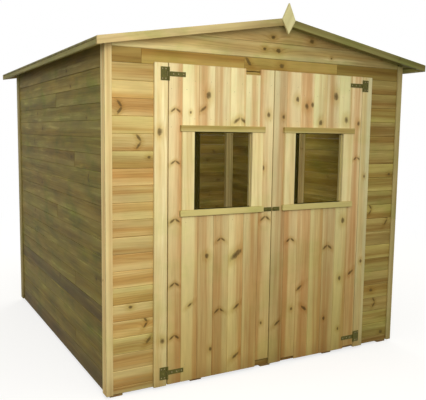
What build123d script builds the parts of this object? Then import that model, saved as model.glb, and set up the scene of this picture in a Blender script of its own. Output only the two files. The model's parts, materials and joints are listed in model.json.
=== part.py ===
from build123d import *
import os
from math import cos, radians, tan

# Wooden garden shed with a low apex roof and a pair of glazed, boarded doors.
# Millimetres. +X is to the right along the front, the front faces -Y, +Z is up.
# The origin is on the ground, under the middle of the floor.

# Overall sizes
shed_width = 2130           # over the corner strips
shed_depth = 2280           # over the corner strips
roof_pitch = 9.8            # degrees
side_overhang = 80          # roof past the corner strips, each side
front_overhang = 125        # roof past the front corner strips, with its barge board
back_overhang = 175         # roof past the back corner strips, with its barge board

# Timber sections
cladding_thickness = 12
cladding_ground_gap = 18    # the boards stop this far above the ground
framing_size = 38           # square framing inside the walls
mid_stud_step = 90          # middle stud of a side wall in front of the wall's middle
strip_thickness = 12        # corner strips
strip_front_width = 40
strip_side_width = 55
bearer_width = 75
bearer_height = 47
bearer_count = 5
bearer_edge_inset = 4       # deck past the outer bearers
deck_thickness = 15
roof_board_thickness = 15
eaves_batten_size = 27
barge_height = 42
barge_thickness = 15
ridge_beam_width = 38
ridge_beam_height = 70
purlin_width = 38
purlin_height = 60

# Bands and boards on the walls
header_height = 80          # band over the doors
header_lap = 12             # the doors come this far over its lower edge
gable_edge_height = 30      # of the gable boards over the band, beside the corner strips
gable_proud = 6
eaves_board_drop = 23       # lower edge of the board under the eaves, below the band's
eaves_board_proud = 3

# Doors
doorway_width = 1380        # clear, between the jambs
door_height = 1833
door_ground_gap = 22
door_board_thickness = 13
door_lap = 10               # each leaf past the clear doorway
door_side_gap = 5           # leaf to the trim beside it
door_centre_gap = 6         # between the leaves
door_clearance = 5          # leaf to the wall that it laps
door_trim_width = 80
ledge_thickness = 20
ledge_height = 95
ledge_jamb_gap = 7          # ledge ends to the jambs
ledge_free_inset = 15       # ledge ends to the free edge of the leaf
top_ledge_inset = 115       # its middle below the top of the leaf
bottom_ledge_inset = 128    # its middle above the foot of the leaf

# Windows in the doors
window_height = 445         # clear, between the head and the sill
window_inset = 372          # below the top of the leaf
side_batten_inset = 78.5    # side battens to the edges of the leaf
side_batten_width = 77      # their inner edges are the sides of the window
side_batten_thickness = 15
cross_batten_height = 35    # head and sill
cross_batten_thickness = 20
cross_batten_end = 11       # head and sill past the side battens
glass_thickness = 4
glass_rebate = 7            # the battens lap the glass by this much
window_jamb_width = 40      # inner battens beside the glass

# Hinges and bolt
top_hinge_inset = 59        # its middle below the top of the leaf
bottom_hinge_inset = 73     # its middle above the foot of the leaf
hinge_plate_width = 47
hinge_plate_height = 74
hinge_leaf_thickness = 2.5
strap_length = 104
strap_height = 26
knuckle_radius = 5
knuckle_edge = 1            # plate and strap edges to the other's knuckle
knuckle_end_gap = 1
pin_radius = 2.45
pin_clearance = 0.05
bolt_drop = 23              # its middle below the window
bolt_sill_gap = 9.5         # bolt to the end of the window's sill
bolt_plate_height = 25
bolt_plate_thickness = 2
bolt_barrel_radius = 6
bolt_barrel_sink = 1.5      # barrel into its plate
bolt_knob_radius = 3.5
bolt_knob_length = 8        # past the front of the barrel
bolt_edge_inset = 2         # bolt and keep back from the free edges of the leaves
keep_end_step = 4           # the keep is this much shorter than the bolt
keep_barrel_step = 26       # its barrel is this much shorter than the bolt

# Finial
finial_width = 92
finial_rise = 97            # above its widest point
finial_drop = 80            # below its widest point
finial_thickness = 15
finial_centre_drop = 15     # widest point below the ridge

seat_gap = 0.3              # between pieces that lie against each other

# Worked-out places
half_width = shed_width / 2
half_depth = shed_depth / 2
clad_x = half_width - strip_thickness
clad_y = half_depth - strip_thickness
inner_x = clad_x - cladding_thickness
inner_y = clad_y - cladding_thickness
frame_x = inner_x - framing_size
frame_y = inner_y - framing_size
deck_bottom = bearer_height
deck_top = deck_bottom + deck_thickness
door_bottom = door_ground_gap
door_top = door_bottom + door_height
header_bottom = door_top - header_lap
header_top = header_bottom + header_height
eaves_board_bottom = header_bottom - eaves_board_drop
slope = tan(radians(roof_pitch))
plumb = 1 / cos(radians(roof_pitch))
gable_half_x = half_width - strip_front_width - seat_gap
gable_edge_top = header_top + seat_gap + gable_edge_height
ridge_height = gable_edge_top + seat_gap + roof_board_thickness * plumb + gable_half_x * slope
tip_x = half_width + side_overhang
roof_front = -half_depth - front_overhang + barge_thickness
roof_back = half_depth + back_overhang - barge_thickness
jamb_x = doorway_width / 2
leaf_edge_x = jamb_x + door_lap
trim_inner_x = leaf_edge_x + door_side_gap
trim_outer_x = trim_inner_x + door_trim_width
door_back_y = -clad_y - door_clearance
door_face_y = door_back_y - door_board_thickness
leaf_free_x = door_centre_gap / 2
leaf_centre_x = (leaf_free_x + leaf_edge_x) / 2
ledge_inner_y = door_back_y + ledge_thickness
top_ledge_centre = door_top - top_ledge_inset
bottom_ledge_centre = door_bottom + bottom_ledge_inset
window_width = leaf_edge_x - leaf_free_x - 2 * (side_batten_inset + side_batten_width)
window_top = door_top - window_inset
window_bottom = window_top - window_height
sill_inner_x = leaf_free_x + side_batten_inset - cross_batten_end
glass_low_x = leaf_centre_x - window_width / 2 - glass_rebate
glass_high_x = leaf_centre_x + window_width / 2 + glass_rebate
glass_low_z = window_bottom - glass_rebate
glass_high_z = window_top + glass_rebate
hinge_x = leaf_edge_x + door_side_gap / 2
hinge_y = door_face_y - seat_gap - knuckle_radius
hinge_heights = (door_top - top_hinge_inset, door_bottom + bottom_hinge_inset)

parts = {}


def roof_top(x):
    return ridge_height - abs(x) * slope


def roof_underside(x):
    return roof_top(x) - roof_board_thickness * plumb


def block(x, y, z):
    """A box between the low and high values of x, y and z."""
    size = Box(x[1] - x[0], y[1] - y[0], z[1] - z[0])
    return Pos((x[0] + x[1]) / 2, (y[0] + y[1]) / 2, (z[0] + z[1]) / 2) * size


def prism(outline, y):
    """An outline of (x, z) corners, drawn out from the low to the high value of y."""
    corners = [(x, y[0], z) for x, z in outline]
    face = make_face(Polyline(*corners, close=True))
    return extrude(face, amount=y[1] - y[0], dir=(0, 1, 0))


def cylinder(centre, z, radius):
    return Pos(centre[0], centre[1], (z[0] + z[1]) / 2) * Cylinder(radius, z[1] - z[0])


def mirrored(solids):
    return [mirror(solid, about=Plane.YZ) for solid in solids]


def add(name, *solids):
    parts[name] = solids[0] if len(solids) == 1 else Compound(children=list(solids))


def add_pair(name, *solids):
    """The solids are those of the left side, and the right side is their mirror image."""
    add("left_" + name, *solids)
    add("right_" + name, *mirrored(solids))


# Floor: bearers from front to back, and a deck on them
deck_half_x = inner_x - seat_gap
deck_half_y = inner_y - seat_gap
outer_bearer_x = deck_half_x - bearer_edge_inset - bearer_width / 2
bearer_pitch = 2 * outer_bearer_x / (bearer_count - 1)
bearer_centres = [-outer_bearer_x + bearer_pitch * step for step in range(bearer_count)]
bearers = [
    block(
        (centre - bearer_width / 2, centre + bearer_width / 2),
        (-deck_half_y, deck_half_y),
        (0, bearer_height),
    )
    for centre in bearer_centres
]
add("floor_bearers", *bearers)
add("floor_deck", block(
    (-deck_half_x, deck_half_x),
    (-deck_half_y, deck_half_y),
    (deck_bottom + seat_gap, deck_top),
))

# Side walls, with a wider board under each eaves
add_pair("wall", block((-clad_x, -inner_x), (-clad_y, clad_y), (cladding_ground_gap, eaves_board_bottom)))
add_pair("eaves_board", block(
    (-clad_x - eaves_board_proud, -inner_x),
    (-clad_y + strip_side_width + seat_gap, clad_y - strip_side_width - seat_gap),
    (eaves_board_bottom + seat_gap, roof_underside(clad_x + eaves_board_proud) - seat_gap),
))

# Back wall and its gable
wall_half_x = inner_x - seat_gap


def gable_outline():
    """The top of an end wall, between the corner strips and under the roof."""
    return [
        (-gable_half_x, header_top + seat_gap),
        (gable_half_x, header_top + seat_gap),
        (gable_half_x, gable_edge_top),
        (0, roof_underside(0) - seat_gap),
        (-gable_half_x, gable_edge_top),
    ]


add("back_wall", block((-wall_half_x, wall_half_x), (inner_y, clad_y), (cladding_ground_gap, header_top)))
add("back_gable", prism(gable_outline(), (inner_y, clad_y + gable_proud)))

# Front wall: a panel each side of the doorway, a band over it, a sill under it and the gable
add_pair("front_panel", block(
    (-wall_half_x, -jamb_x),
    (-clad_y, -inner_y),
    (cladding_ground_gap, header_bottom),
))
add("door_header", block(
    (-gable_half_x, gable_half_x),
    (-clad_y, -inner_y),
    (header_bottom + seat_gap, header_top),
))
add("door_sill", block(
    (-jamb_x + seat_gap, jamb_x - seat_gap),
    (-clad_y, -inner_y),
    (cladding_ground_gap, deck_top),
))
add("front_gable", prism(gable_outline(), (-clad_y - gable_proud, -inner_y)))


# Framing inside the walls, standing on the deck
def top_rail(x):
    """A rail along a side wall, with its top cut to the slope of the roof."""
    outline = [
        (x[0], rail_top(x[0]) - framing_size),
        (x[1], rail_top(x[0]) - framing_size),
        (x[1], rail_top(x[1])),
        (x[0], rail_top(x[0])),
    ]
    return prism(outline, (-inner_y + seat_gap, inner_y - seat_gap))


def rail_top(x):
    return roof_underside(x) - seat_gap


frame_low = deck_top + seat_gap
stud_low = frame_low + framing_size + seat_gap
side_frame_x = (-inner_x + seat_gap, -frame_x)
side_stud_high = rail_top(side_frame_x[0]) - framing_size - seat_gap
side_studs_y = [-frame_y - framing_size / 2, -mid_stud_step, frame_y + framing_size / 2]
side_studs = [
    block(
        side_frame_x,
        (centre - framing_size / 2 + seat_gap, centre + framing_size / 2 - seat_gap),
        (stud_low, side_stud_high),
    )
    for centre in side_studs_y
]
side_bottom_rail = block(
    side_frame_x,
    (-inner_y + seat_gap, inner_y - seat_gap),
    (frame_low, frame_low + framing_size),
)
add_pair("wall_frame", side_bottom_rail, top_rail(side_frame_x), *side_studs)

end_rail_x = frame_x - seat_gap
end_stud_high = header_top - framing_size - seat_gap
back_frame_y = (frame_y, inner_y - seat_gap)
back_studs = [
    block(
        (centre - framing_size / 2, centre + framing_size / 2),
        back_frame_y,
        (stud_low, end_stud_high),
    )
    for centre in (-end_rail_x + framing_size / 2, 0, end_rail_x - framing_size / 2)
]
add(
    "back_wall_frame",
    block((-end_rail_x, end_rail_x), back_frame_y, (frame_low, frame_low + framing_size)),
    block((-end_rail_x, end_rail_x), back_frame_y, (header_top - framing_size, header_top)),
    *back_studs,
)

front_frame_y = (-inner_y + seat_gap, -frame_y)
front_stud_high = header_bottom - seat_gap
left_front_frame = [
    block(
        (-end_rail_x, -end_rail_x + framing_size),
        front_frame_y,
        (stud_low, front_stud_high),
    ),
    block((-jamb_x - framing_size, -jamb_x), front_frame_y, (stud_low, front_stud_high)),
    block((-end_rail_x, -jamb_x), front_frame_y, (frame_low, frame_low + framing_size)),
]
front_top_rail = block((-end_rail_x, end_rail_x), front_frame_y, (header_bottom, header_top))
add("front_wall_frame", front_top_rail, *left_front_frame, *mirrored(left_front_frame))


# Corner strips: one on the end wall and one round the corner on the side wall
def corner_strips(end):
    """The two strips of the left corner at the front (end = -1) or the back (end = 1)."""
    strip_top = roof_underside(half_width) - seat_gap
    end_y = sorted((end * half_depth, end * clad_y))
    side_y = sorted((end * (clad_y - seat_gap), end * (clad_y - strip_side_width)))
    end_x = (-half_width, -half_width + strip_front_width)
    on_end = block(end_x, end_y, (cladding_ground_gap, strip_top))
    on_side = block((-half_width, -clad_x), side_y, (cladding_ground_gap, strip_top))
    return on_end, on_side


for place, end in (("front", -1), ("back", 1)):
    left_strips = corner_strips(end)
    add(place + "_left_corner_strips", *left_strips)
    add(place + "_right_corner_strips", *mirrored(left_strips))

# Roof: boards down each slope, a batten under each eaves, a ridge beam and purlins
left_roof_outline = [
    (-seat_gap / 2, roof_top(0)),
    (-tip_x, roof_top(tip_x)),
    (-tip_x, roof_underside(tip_x)),
    (-seat_gap / 2, roof_underside(0)),
]
roof_y = (roof_front + seat_gap, roof_back - seat_gap)
add_pair("roof_boards", prism(left_roof_outline, roof_y))


def under_roof(x, height, y):
    """A plumb-sided timber along the left slope, lying against the underside of the boards."""
    outline = [
        (x[0], roof_underside(x[0]) - seat_gap),
        (x[1], roof_underside(x[1]) - seat_gap),
        (x[1], roof_underside(x[1]) - seat_gap - height),
        (x[0], roof_underside(x[0]) - seat_gap - height),
    ]
    return prism(outline, y)


left_batten = under_roof((-tip_x, -tip_x + eaves_batten_size), eaves_batten_size, roof_y)
add("eaves_battens", left_batten, *mirrored([left_batten]))

between_gables_y = (-inner_y + seat_gap, inner_y - seat_gap)
ridge_half = ridge_beam_width / 2
ridge_outline = [
    (-ridge_half, roof_underside(ridge_half) - seat_gap),
    (0, roof_underside(0) - seat_gap),
    (ridge_half, roof_underside(ridge_half) - seat_gap),
    (ridge_half, roof_underside(0) - ridge_beam_height),
    (-ridge_half, roof_underside(0) - ridge_beam_height),
]
add("ridge_beam", prism(ridge_outline, between_gables_y))
purlin_centre = -frame_x / 2
purlin_x = (purlin_centre - purlin_width / 2, purlin_centre + purlin_width / 2)
left_purlin = under_roof(purlin_x, purlin_height, between_gables_y)
add("roof_purlins", left_purlin, *mirrored([left_purlin]))


# Barge boards on the front and back ends of the roof
def barge_board(y):
    outline = [
        (-seat_gap / 2, roof_top(0)),
        (-tip_x, roof_top(tip_x)),
        (-tip_x, roof_top(tip_x) - barge_height * plumb),
        (-seat_gap / 2, roof_top(0) - barge_height * plumb),
    ]
    return prism(outline, y)


for place, barge_y in (
    ("front", (roof_front - barge_thickness, roof_front)),
    ("back", (roof_back, roof_back + barge_thickness)),
):
    left_barge = barge_board(barge_y)
    add(place + "_barge_boards", left_barge, *mirrored([left_barge]))

# Finial: a flat kite over the joint of the front barge boards
finial_centre = ridge_height - finial_centre_drop
finial_outline = [
    (0, finial_centre + finial_rise),
    (finial_width / 2, finial_centre),
    (0, finial_centre - finial_drop),
    (-finial_width / 2, finial_centre),
]
finial_back = roof_front - barge_thickness - seat_gap
add("finial", prism(finial_outline, (finial_back - finial_thickness, finial_back)))

# Trims beside the doors, flush with their faces
add_pair("door_trim", block(
    (-trim_outer_x, -trim_inner_x),
    (door_face_y, -clad_y - seat_gap),
    (cladding_ground_gap, door_top),
))


# Door leaves: boards round a window hole, with ledges and inner battens behind them
def door_boards():
    """The runs of boards of the left leaf: outer, inner, over and under the window."""
    board_y = (door_back_y - door_board_thickness, door_back_y)
    full_z = (door_bottom, door_top)
    middle_x = (-glass_high_x + seat_gap, -glass_low_x - seat_gap)
    return [
        block((-leaf_edge_x, -glass_high_x), board_y, full_z),
        block((-glass_low_x, -leaf_free_x), board_y, full_z),
        block(middle_x, board_y, (glass_high_z, door_top)),
        block(middle_x, board_y, (door_bottom, glass_low_z)),
    ]


def door_ledges():
    """Cross ledges on the inside of the left leaf, and the two battens beside its window."""
    ledge_x = (-jamb_x + ledge_jamb_gap, -leaf_free_x - ledge_free_inset)
    ledge_y = (door_back_y + seat_gap, ledge_inner_y)
    jamb_z = (window_bottom + seat_gap, window_top - seat_gap)
    ledges = [
        block(ledge_x, ledge_y, (low, low + ledge_height))
        for low in (
            bottom_ledge_centre - ledge_height / 2,
            window_bottom - ledge_height,
            window_top,
            top_ledge_centre - ledge_height / 2,
        )
    ]
    window_edge = window_width / 2
    jambs = [
        block((-leaf_centre_x + low, -leaf_centre_x + low + window_jamb_width), ledge_y, jamb_z)
        for low in (-window_edge - window_jamb_width, window_edge)
    ]
    return ledges + jambs


def window_battens():
    """Head, sill and side battens on the face of the left leaf, lapping the glass."""
    window_edge = window_width / 2
    outer_edge = window_edge + side_batten_width
    end = outer_edge + cross_batten_end
    seat_y = door_face_y - seat_gap
    side_y = (seat_y - side_batten_thickness, seat_y)
    cross_y = (seat_y - cross_batten_thickness, seat_y)
    side_z = (window_bottom + seat_gap, window_top - seat_gap)
    cross_x = (-leaf_centre_x - end, -leaf_centre_x + end)
    return [
        block(cross_x, cross_y, (window_top, window_top + cross_batten_height)),
        block(cross_x, cross_y, (window_bottom - cross_batten_height, window_bottom)),
        block((-leaf_centre_x - outer_edge, -leaf_centre_x - window_edge), side_y, side_z),
        block((-leaf_centre_x + window_edge, -leaf_centre_x + outer_edge), side_y, side_z),
    ]


add_pair("door_boards", *door_boards())
add_pair("door_ledges", *door_ledges())
add_pair("window_battens", *window_battens())
add_pair("window_glass", block(
    (-glass_high_x + 2 * seat_gap, -glass_low_x - 2 * seat_gap),
    (door_face_y + seat_gap, door_face_y + seat_gap + glass_thickness),
    (glass_low_z + seat_gap, glass_high_z - seat_gap),
))

# Tee hinges: a plate on each trim with its pin, and a strap on each leaf
hinge_leaf_y = (door_face_y - seat_gap - hinge_leaf_thickness, door_face_y - seat_gap)
left_hinge_centre = (-hinge_x, hinge_y)


def hinge_plate(height):
    """The fixed half of a left hinge: plate, two outer knuckles and the pin."""
    low = height - hinge_plate_height / 2
    high = height + hinge_plate_height / 2
    gap_low = height - strap_height / 2 - knuckle_end_gap
    gap_high = height + strap_height / 2 + knuckle_end_gap
    plate_edge = -hinge_x - knuckle_radius - knuckle_edge
    plate = block((-hinge_x - hinge_plate_width, plate_edge), hinge_leaf_y, (low, high))
    for knuckle_z in ((low, gap_low), (gap_high, high)):
        plate += block((plate_edge, -hinge_x), hinge_leaf_y, knuckle_z)
        plate += cylinder(left_hinge_centre, knuckle_z, knuckle_radius)
    return plate + cylinder(left_hinge_centre, (low, high), pin_radius)


def hinge_strap(height):
    """The moving half of a left hinge: a strap whose knuckle turns on the pin."""
    strap_z = (height - strap_height / 2, height + strap_height / 2)
    strap = block((-hinge_x, -hinge_x + strap_length), hinge_leaf_y, strap_z)
    strap += cylinder(left_hinge_centre, strap_z, knuckle_radius)
    return strap - cylinder(left_hinge_centre, strap_z, pin_radius + pin_clearance)


left_plates = [hinge_plate(height) for height in hinge_heights]
add("hinge_plates", *left_plates, *mirrored(left_plates))
add_pair("hinge_straps", *[hinge_strap(height) for height in hinge_heights])

# Bolt on the left leaf, drawn back, and its keep on the right leaf
bolt_inner_x = leaf_free_x + bolt_edge_inset
bolt_outer_x = sill_inner_x - bolt_sill_gap
bolt_centre_height = window_bottom - bolt_drop
bolt_face_y = door_face_y - seat_gap - bolt_plate_thickness
barrel_y = bolt_face_y - bolt_barrel_radius + bolt_barrel_sink
bolt_z = (bolt_centre_height - bolt_plate_height / 2, bolt_centre_height + bolt_plate_height / 2)


def barrel(low_x, high_x):
    turned = Rot(0, 90, 0) * Cylinder(bolt_barrel_radius, high_x - low_x)
    return Pos((low_x + high_x) / 2, barrel_y, bolt_centre_height) * turned


def bolt_plate(low_x, high_x):
    return block((low_x, high_x), (bolt_face_y, door_face_y - seat_gap), bolt_z)


knob_centre = Pos(
    -(bolt_inner_x + bolt_outer_x) / 2,
    barrel_y - (bolt_barrel_radius + bolt_knob_length) / 2,
    bolt_centre_height,
)
knob = knob_centre * Rot(90, 0, 0) * Cylinder(bolt_knob_radius, bolt_barrel_radius + bolt_knob_length)
bolt = bolt_plate(-bolt_outer_x, -bolt_inner_x) + barrel(-bolt_outer_x, -bolt_inner_x) + knob
keep = bolt_plate(bolt_inner_x, bolt_outer_x - keep_end_step)
keep += barrel(bolt_inner_x, bolt_outer_x - keep_barrel_step)
add("door_bolt", bolt)
add("bolt_keep", keep)

os.makedirs("parts", exist_ok=True)
for name, shape in parts.items():
    export_step(shape, os.path.join("parts", name + ".step"))
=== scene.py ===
import bmesh
import bpy
import json
from math import pi, radians
from mathutils import Matrix, Vector
from random import Random

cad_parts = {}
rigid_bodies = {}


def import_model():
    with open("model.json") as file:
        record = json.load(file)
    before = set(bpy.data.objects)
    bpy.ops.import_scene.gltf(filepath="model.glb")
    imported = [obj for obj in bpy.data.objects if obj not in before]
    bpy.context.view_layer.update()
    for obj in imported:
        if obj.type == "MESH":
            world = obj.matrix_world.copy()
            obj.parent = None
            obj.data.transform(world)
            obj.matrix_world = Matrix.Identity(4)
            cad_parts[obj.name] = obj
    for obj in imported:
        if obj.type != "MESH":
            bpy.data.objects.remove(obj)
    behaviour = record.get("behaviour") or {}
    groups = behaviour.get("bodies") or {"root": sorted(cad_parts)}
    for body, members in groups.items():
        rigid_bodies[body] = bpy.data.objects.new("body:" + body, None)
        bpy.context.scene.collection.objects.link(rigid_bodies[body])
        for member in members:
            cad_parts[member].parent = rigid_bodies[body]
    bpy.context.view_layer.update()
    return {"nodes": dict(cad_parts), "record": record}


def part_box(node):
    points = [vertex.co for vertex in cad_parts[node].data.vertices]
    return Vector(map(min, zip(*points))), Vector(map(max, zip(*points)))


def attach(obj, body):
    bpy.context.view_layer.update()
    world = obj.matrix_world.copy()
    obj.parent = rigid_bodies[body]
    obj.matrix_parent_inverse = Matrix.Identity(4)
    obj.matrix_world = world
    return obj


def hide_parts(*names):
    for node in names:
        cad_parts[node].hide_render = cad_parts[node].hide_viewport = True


# Looks of the garden shed: every timber gets eased edges, grain along its length, and knots,
# and each slab of the frame is sawn into its boards. Metres. The front faces -Y, +Z is up.

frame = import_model()
record = frame["record"]
body_of = {
    node: body
    for body, members in record["behaviour"]["bodies"].items()
    for node in members
}

# Sizes of the timber
course = 0.094              # cladding, joint to joint
door_cover = 0.1035         # door boards, joint to joint
hinge_side_board = 0.084    # the left leaf's first board
free_side_board = 0.094     # the right leaf's first board
roof_cover = 0.100          # roof boards, joint to joint
deck_cover = 0.120
gable_joint = 0.093         # first course of the gable, above the band
joint_bevel = 0.0035        # on the cladding's edges, so that each joint is a V
side_bevel = 0.0025
door_bevel = 0.002
eased_edge = 0.0012         # on the band and the eaves boards
kerf = 0.0003               # left between sawn boards
merge_gap = 0.00002
flat_angle = radians(0.5)
sharp_angle = radians(25)
seat = 0.0003               # between pieces that lie against each other
thinnest_board = 0.03       # of a wall's lowest course
thinnest_door_board = 0.05
near_middle = 0.02          # a door board's face is found this near its middle
cutter_reach = 0.01         # past both faces of what it cuts
butt_shift = 0.01           # of a joint along a course, either way
planed_edge = 0.002         # on trims and strips
small_edge = 0.0015         # on battens, ledges and framing

# Ironwork
screw_radius = 0.0038
screw_head = 0.0012
nail_radius = 0.0017
nail_head = 0.0006
course_nail_step = 0.022    # nails above and below the middle of a course
door_nail_across = 0.026    # and those of a door board, either side of its middle
door_nail_along = 0.024
nail_sides = 8
screw_sides = 12
hinge_thickness = 0.0028    # of its leaves, with the gap behind them
plate_screw_edge = 0.011    # from a hinge plate's head and foot
plate_screws = (0.010, 0.030)           # from the outer edge
strap_screws = (0.034, 0.064, 0.096)

# Small timbers of the doors, and the dark strips of painted shade behind their panes
packer_board = 5            # the left leaf's board that it backs, counted from 0 at the left
packer_height = 0.045
packer_thickness = 0.020
packer_drop = 0.017         # its top below the leaf's
packer_lap = 0.030          # past that board, each side
# painted shade: a dark strip behind each pane, wide at its left and thin at its head and foot
shade_strip_depth = 0.003
shade_strip_lap = 0.007            # of the painted shade strips and the battens over the glass
shade_strip_thin = 0.004           # its width in sight, at the head and foot
shade_strip_edge = 0.0006
shade_strip_widths = {"left": 0.044, "right": 0.042}       # in sight, at the left of each pane

# Grain
grain_shift = 40            # each board's own part of the grain is up to so far off, both ways
FACING = Vector((1, 1.1, 1.2))          # gives each direction of a board one sign

# Camera, lamps and floor
lens = 50.9
sensor = 36
camera_place = (-2.103, -4.199, 1.481)
camera_heading = 28.95      # degrees from +Y towards +X
camera_tilt = -6.42
camera_roll = 0.79
LAMPS = (                   # name, place, what it points at, width and power
    ("key", (-1.3, -3.5, 1.95), (-0.4, -1.1, 1.3), 1.1, 40),
    ("inside", (0.1, -0.5, 1.72), (0.1, 0.9, 1.0), 0.5, 12),
    ("back", (1.9, 4.6, 2.6), (0.2, 1.1, 1.1), 1.8, 50),
)
sky_strength = 0.66
floor_width = 60
floor_glow = 0.72
shadow_fades = (2.6, 6.5)   # between these distances from the middle the floor turns plain white

AXES = {"x": 0, "y": 1, "z": 2}
SIDES = ("left", "right")


# ---------------------------------------------------------------- modelling

def deselect():
    bpy.ops.object.select_all(action="DESELECT")


def choose(pieces):
    """Selects these pieces alone, and makes the first one active."""
    deselect()
    for piece in pieces:
        piece.select_set(True)
    bpy.context.view_layer.objects.active = pieces[0]


def start_edit(piece):
    choose([piece])
    bpy.ops.object.mode_set(mode="EDIT")
    bpy.ops.mesh.select_mode(type="FACE")


def end_edit():
    bpy.ops.object.mode_set(mode="OBJECT")


def apply_all(piece):
    choose([piece])
    for modifier in list(piece.modifiers):
        bpy.ops.object.modifier_apply(modifier=modifier.name)


def new_object(name, data):
    made = bpy.data.objects.new(name, data)
    bpy.context.scene.collection.objects.link(made)
    return made


def copy_of(node, name):
    """A piece with a CAD node's shape, its triangles merged into flat faces."""
    piece = new_object(name, frame["nodes"][node].data.copy())
    piece.data.materials.clear()
    start_edit(piece)
    bpy.ops.mesh.customdata_custom_splitnormals_clear()
    bpy.ops.mesh.select_all(action="SELECT")
    bpy.ops.mesh.remove_doubles(threshold=merge_gap)
    bpy.ops.mesh.dissolve_limited(angle_limit=flat_angle)
    end_edit()
    return piece


def slab(name, low, high):
    """A plain block between two corners, to be sawn and shaped."""
    deselect()
    middle = [(a + b) / 2 for a, b in zip(low, high)]
    bpy.ops.mesh.primitive_cube_add(size=1, location=middle)
    piece = bpy.context.object
    piece.name = name
    piece.scale = [b - a for a, b in zip(low, high)]
    bpy.ops.object.transform_apply(location=True, rotation=True, scale=True)
    return piece


def select_faces(piece, test):
    """In edit mode, selects the faces that pass the test, and nothing else."""
    bpy.ops.mesh.select_all(action="DESELECT")
    mesh = bmesh.from_edit_mesh(piece.data)
    for face in mesh.faces:
        face.select_set(test(face))
    bmesh.update_edit_mesh(piece.data)


def pick(piece, test):
    """In edit mode, selects the whole boards that have a face whose middle passes the test."""
    select_faces(piece, lambda face: test(face.calc_center_median()))
    bpy.ops.mesh.select_linked()


def shift_along(axis, amount):
    shift = [0, 0, 0]
    shift[AXES[axis]] = amount
    bpy.ops.transform.translate(value=shift)


def open_cut(piece, axis, place):
    """In edit mode, moves the boards' faces either side of a cut apart, by half a kerf each."""
    along = AXES[axis]
    bpy.ops.mesh.select_mode(type="VERT")
    for side in (-1, 1):
        bpy.ops.mesh.select_all(action="DESELECT")
        mesh = bmesh.from_edit_mesh(piece.data)
        for vertex in mesh.verts:
            if abs(vertex.co[along] - place) < merge_gap:
                ends = [edge.other_vert(vertex).co[along] for edge in vertex.link_edges]
                vertex.select_set(any(side * (end - place) > merge_gap for end in ends))
        bmesh.update_edit_mesh(piece.data)
        shift_along(axis, side * kerf / 2)
    bpy.ops.mesh.select_mode(type="FACE")


def saw(piece, axis, places, boards=None):
    """Saws the piece, or the boards that the test picks, through at places along an axis."""
    normal = [0, 0, 0]
    normal[AXES[axis]] = 1
    start_edit(piece)
    for place in places:
        if boards:
            pick(piece, boards)
        else:
            bpy.ops.mesh.select_all(action="SELECT")
        bpy.ops.mesh.bisect(plane_co=[place * part for part in normal], plane_no=normal)
        bpy.ops.mesh.edge_split(type="EDGE")
        bpy.ops.mesh.select_all(action="SELECT")
        bpy.ops.mesh.fill_holes(sides=0)
        open_cut(piece, axis, place)
    end_edit()


def cut_short(piece, board, axis, end, amount):
    """Moves the end (low is -1, high is 1) of the boards that the test picks inwards."""
    along = AXES[axis]
    start_edit(piece)
    pick(piece, board)
    mesh = bmesh.from_edit_mesh(piece.data)
    chosen = [vertex for vertex in mesh.verts if vertex.select]
    limit = max(end * vertex.co[along] for vertex in chosen)
    bpy.ops.mesh.select_mode(type="VERT")
    bpy.ops.mesh.select_all(action="DESELECT")
    for vertex in chosen:
        vertex.select_set(end * vertex.co[along] > limit - merge_gap)
    bmesh.update_edit_mesh(piece.data)
    shift_along(axis, -end * amount)
    bpy.ops.mesh.select_mode(type="FACE")
    end_edit()


def ease(piece, width, segments=1):
    """Takes the sharp edges off."""
    bevel = piece.modifiers.new("ease", "BEVEL")
    bevel.width = width
    bevel.segments = segments
    bevel.limit_method = "ANGLE"
    bevel.angle_limit = sharp_angle
    apply_all(piece)


def joined(name, pieces):
    choose(pieces)
    if len(pieces) > 1:
        bpy.ops.object.join()
    whole = bpy.context.object
    whole.name = name
    return whole


# ---------------------------------------------------------------- grain, tone and knots of each board

def shells(mesh):
    """The separate boards of a mesh, each a list of its faces."""
    leader = list(range(len(mesh.vertices)))

    def find(vertex):
        while leader[vertex] != vertex:
            leader[vertex] = leader[leader[vertex]]
            vertex = leader[vertex]
        return vertex

    for edge in mesh.edges:
        first, second = edge.vertices
        leader[find(first)] = find(second)
    groups = {}
    for face in mesh.polygons:
        groups.setdefault(find(face.vertices[0]), []).append(face)
    return list(groups.values())


def one_way(direction):
    """The direction or its opposite, so that all boards along one line face the same way."""
    return direction if direction.dot(FACING) >= 0 else -direction


class Board:
    """One board of a piece: its faces, the directions along, across and out of it, and its size."""

    def __init__(self, mesh, faces):
        self.faces = faces
        corners = {index for face in faces for index in face.vertices}
        points = [mesh.vertices[index].co for index in corners]
        keys = {tuple(sorted(key)) for face in faces for key in face.edge_keys}
        edges = [mesh.vertices[b].co - mesh.vertices[a].co for a, b in keys]
        along = max(edges, key=lambda edge: (round(edge.length, 5), abs(edge.z), abs(edge.x)))
        self.along = one_way(along.normalized())
        sides = [face for face in faces if abs(face.normal.dot(self.along)) < 0.1]
        out = max(sides, key=lambda face: round(face.area, 7)).normal.copy()
        self.out = one_way((out - self.along * out.dot(self.along)).normalized())
        self.across = one_way(self.out.cross(self.along))
        self.reach = {
            name: (min(point.dot(way) for point in points), max(point.dot(way) for point in points))
            for name, way in (("along", self.along), ("across", self.across), ("out", self.out))
        }
        self.middle = sum(points, Vector()) / len(points)

    def length(self, name="along"):
        return self.reach[name][1] - self.reach[name][0]


KNOTS_A_BOARD = 5
KNOT_KINDS = {              # how a kind's size is stored, and its core's share of the radius
    "round": (0, 0.85),
    "pair": (0, 0.72),
    "slant": (1, 0.72),
    "back_slant": (2, 0.72),
}
CHANCE_KINDS = ("round", "round", "round", "pair", "slant", "back_slant")
NOWHERE = (1000, 1000, 0.01)


def stored_size(radius, kind="round"):
    """A knot's size as its attribute holds it: negative for spikes, and less by 1 for each step."""
    steps, core = KNOT_KINDS[kind]
    return radius * core if kind == "round" else -(radius * core + steps)


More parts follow.
